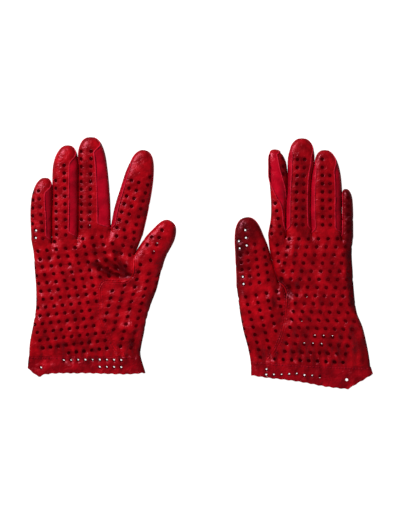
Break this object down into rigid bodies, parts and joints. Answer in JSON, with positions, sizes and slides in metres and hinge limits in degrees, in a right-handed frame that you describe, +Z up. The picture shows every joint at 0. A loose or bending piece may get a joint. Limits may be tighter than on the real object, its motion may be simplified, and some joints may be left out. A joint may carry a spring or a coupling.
{
  "type": "leather driving gloves",
  "caption": "Short, unlined, perforated leather driving gloves laid flat, with smooth finger sides, a turned hem and a gathered wrist; the fingers curl.",
  "frame": {"origin": "under the middle of the pair, on the surface it lies on", "axes": "+X across both gloves from the right-hand glove to the left-hand glove, +Y towards the fingertips, +Z up out of the palms"},
  "size_m": [0.3164, 0.2303, 0.011],
  "materials": {
    "glove_leather": "soft crimson nappa, punched with round holes, low sheen",
    "smooth_leather": "smooth crimson nappa, a little glossier, not punched",
    "hem_leather": "crimson nappa turned over and topstitched",
    "elastic_tape": "woven elastic tape, matt"
  },
  "bodies": {
    "right_hand": {"right_palm_panel": "glove_leather", "right_back_panel": "glove_leather", "right_thumb_gusset": "glove_leather", "right_hem_front": "hem_leather", "right_hem_back": "hem_leather", "right_wrist_elastic": "elastic_tape"},
    "right_pinky_base": {"right_pinky_base": "glove_leather", "right_pinky_fourchettes_base": "smooth_leather"},
    "right_pinky_tip": {"right_pinky_tip": "glove_leather", "right_pinky_fourchettes_tip": "smooth_leather"},
    "right_ring_base": {"right_ring_base": "glove_leather", "right_ring_fourchettes_base": "smooth_leather"},
    "right_ring_tip": {"right_ring_tip": "glove_leather", "right_ring_fourchettes_tip": "smooth_leather"},
    "right_middle_base": {"right_middle_base": "glove_leather", "right_middle_fourchettes_base": "smooth_leather"},
    "right_middle_tip": {"right_middle_tip": "glove_leather", "right_middle_fourchettes_tip": "smooth_leather"},
    "right_index_base": {"right_index_base": "glove_leather", "right_index_fourchettes_base": "smooth_leather"},
    "right_index_tip": {"right_index_tip": "glove_leather", "right_index_fourchettes_tip": "smooth_leather"},
    "right_thumb_base": {"right_thumb_base": "glove_leather"},
    "right_thumb_tip": {"right_thumb_tip": "glove_leather"},
    "left_hand": {"left_palm_panel": "glove_leather", "left_back_panel": "glove_leather", "left_thumb_gusset": "glove_leather", "left_hem_front": "hem_leather", "left_hem_back": "hem_leather", "left_wrist_elastic": "elastic_tape"},
    "left_pinky_base": {"left_pinky_base": "glove_leather", "left_pinky_fourchettes_base": "smooth_leather"},
    "left_pinky_tip": {"left_pinky_tip": "glove_leather", "left_pinky_fourchettes_tip": "smooth_leather"},
    "left_ring_base": {"left_ring_base": "glove_leather", "left_ring_fourchettes_base": "smooth_leather"},
    "left_ring_tip": {"left_ring_tip": "glove_leather", "left_ring_fourchettes_tip": "smooth_leather"},
    "left_middle_base": {"left_middle_base": "glove_leather", "left_middle_fourchettes_base": "smooth_leather"},
    "left_middle_tip": {"left_middle_tip": "glove_leather", "left_middle_fourchettes_tip": "smooth_leather"},
    "left_index_base": {"left_index_base": "glove_leather", "left_index_fourchettes_base": "smooth_leather"},
    "left_index_tip": {"left_index_tip": "glove_leather", "left_index_fourchettes_tip": "smooth_leather"},
    "left_thumb_base": {"left_thumb_base": "glove_leather"},
    "left_thumb_tip": {"left_thumb_tip": "glove_leather"}
  },
  "joints": [
    {"name": "right_pinky_root_bend", "type": "hinge", "parent": "right_hand", "child": "right_pinky_base", "pos_m": [-0.1457, 0.02698, 0.011], "axis": [0.998, -0.0628, 0], "range_deg": [0, 70]},
    {"name": "right_pinky_middle_bend", "type": "hinge", "parent": "right_pinky_base", "child": "right_pinky_tip", "pos_m": [-0.14406, 0.05293, 0.011], "axis": [0.998, -0.0628, 0], "range_deg": [0, 55]},
    {"name": "right_ring_root_bend", "type": "hinge", "parent": "right_hand", "child": "right_ring_base", "pos_m": [-0.12435, 0.03149, 0.011], "axis": [0.9993, -0.0384, 0], "range_deg": [0, 70]},
    {"name": "right_ring_middle_bend", "type": "hinge", "parent": "right_ring_base", "child": "right_ring_tip", "pos_m": [-0.1229, 0.06946, 0.011], "axis": [0.9993, -0.0384, 0], "range_deg": [0, 55]},
    {"name": "right_middle_root_bend", "type": "hinge", "parent": "right_hand", "child": "right_middle_base", "pos_m": [-0.09729, 0.0394, 0.011], "axis": [0.9999, 0.0105, 0], "range_deg": [0, 70]},
    {"name": "right_middle_middle_bend", "type": "hinge", "parent": "right_middle_base", "child": "right_middle_tip", "pos_m": [-0.09769, 0.0774, 0.011], "axis": [0.9999, 0.0105, 0], "range_deg": [0, 55]},
    {"name": "right_index_root_bend", "type": "hinge", "parent": "right_hand", "child": "right_index_base", "pos_m": [-0.06509, 0.03547, 0.011], "axis": [0.9748, -0.2233, 0], "range_deg": [0, 70]},
    {"name": "right_index_middle_bend", "type": "hinge", "parent": "right_index_base", "child": "right_index_tip", "pos_m": [-0.05728, 0.06959, 0.011], "axis": [0.9748, -0.2233, 0], "range_deg": [0, 55]},
    {"name": "right_thumb_root_bend", "type": "hinge", "parent": "right_hand", "child": "right_thumb_base", "pos_m": [-0.04347, 0.00562, 0.011], "axis": [0.8462, -0.5329, 0], "range_deg": [0, 50]},
    {"name": "right_thumb_middle_bend", "type": "hinge", "parent": "right_thumb_base", "child": "right_thumb_tip", "pos_m": [-0.03388, 0.02085, 0.011], "axis": [0.8462, -0.5329, 0], "range_deg": [0, 40]},
    {"name": "left_glove_lift", "type": "slide", "parent": "right_hand", "child": "left_hand", "axis": [0, 0, 1], "range_m": [0, 0.12]},
    {"name": "left_pinky_root_bend", "type": "hinge", "parent": "left_hand", "child": "left_pinky_base", "pos_m": [0.13646, 0.0292, 0.011], "axis": [1, -0.007, 0], "range_deg": [0, 70]},
    {"name": "left_pinky_middle_bend", "type": "hinge", "parent": "left_pinky_base", "child": "left_pinky_tip", "pos_m": [0.13659, 0.0482, 0.011], "axis": [1, -0.007, 0], "range_deg": [0, 55]},
    {"name": "left_ring_root_bend", "type": "hinge", "parent": "left_hand", "child": "left_ring_base", "pos_m": [0.11701, 0.0348, 0.011], "axis": [0.9999, 0.0105, 0], "range_deg": [0, 70]},
    {"name": "left_ring_middle_bend", "type": "hinge", "parent": "left_ring_base", "child": "left_ring_tip", "pos_m": [0.11664, 0.0698, 0.011], "axis": [0.9999, 0.0105, 0], "range_deg": [0, 55]},
    {"name": "left_middle_root_bend", "type": "hinge", "parent": "left_hand", "child": "left_middle_base", "pos_m": [0.09099, 0.0371, 0.011], "axis": [0.9999, -0.0105, 0], "range_deg": [0, 70]},
    {"name": "left_middle_middle_bend", "type": "hinge", "parent": "left_middle_base", "child": "left_middle_tip", "pos_m": [0.0914, 0.0761, 0.011], "axis": [0.9999, -0.0105, 0], "range_deg": [0, 55]},
    {"name": "left_index_root_bend", "type": "hinge", "parent": "left_hand", "child": "left_index_base", "pos_m": [0.07096, 0.0325, 0.011], "axis": [1, -0.007, 0], "range_deg": [0, 70]},
    {"name": "left_index_middle_bend", "type": "hinge", "parent": "left_index_base", "child": "left_index_tip", "pos_m": [0.07121, 0.0685, 0.011], "axis": [1, -0.007, 0], "range_deg": [0, 55]},
    {"name": "left_thumb_root_bend", "type": "hinge", "parent": "left_hand", "child": "left_thumb_base", "pos_m": [0.05265, -0.0133, 0.011], "axis": [0.9877, 0.1564, 0], "range_deg": [0, 50]},
    {"name": "left_thumb_middle_bend", "type": "hinge", "parent": "left_thumb_base", "child": "left_thumb_tip", "pos_m": [0.04858, 0.01238, 0.011], "axis": [0.9877, 0.1564, 0], "range_deg": [0, 40]}
  ],
  "couplings": [
    {"joint": "right_pinky_middle_bend", "follows": "right_pinky_root_bend", "ratio": 0.78},
    {"joint": "right_ring_middle_bend", "follows": "right_ring_root_bend", "ratio": 0.78},
    {"joint": "right_middle_middle_bend", "follows": "right_middle_root_bend", "ratio": 0.78},
    {"joint": "right_index_middle_bend", "follows": "right_index_root_bend", "ratio": 0.78},
    {"joint": "right_thumb_middle_bend", "follows": "right_thumb_root_bend", "ratio": 0.79},
    {"joint": "left_pinky_middle_bend", "follows": "left_pinky_root_bend", "ratio": 0.78},
    {"joint": "left_ring_middle_bend", "follows": "left_ring_root_bend", "ratio": 0.78},
    {"joint": "left_middle_middle_bend", "follows": "left_middle_root_bend", "ratio": 0.78},
    {"joint": "left_index_middle_bend", "follows": "left_index_root_bend", "ratio": 0.78},
    {"joint": "left_thumb_middle_bend", "follows": "left_thumb_root_bend", "ratio": 0.79}
  ]
}
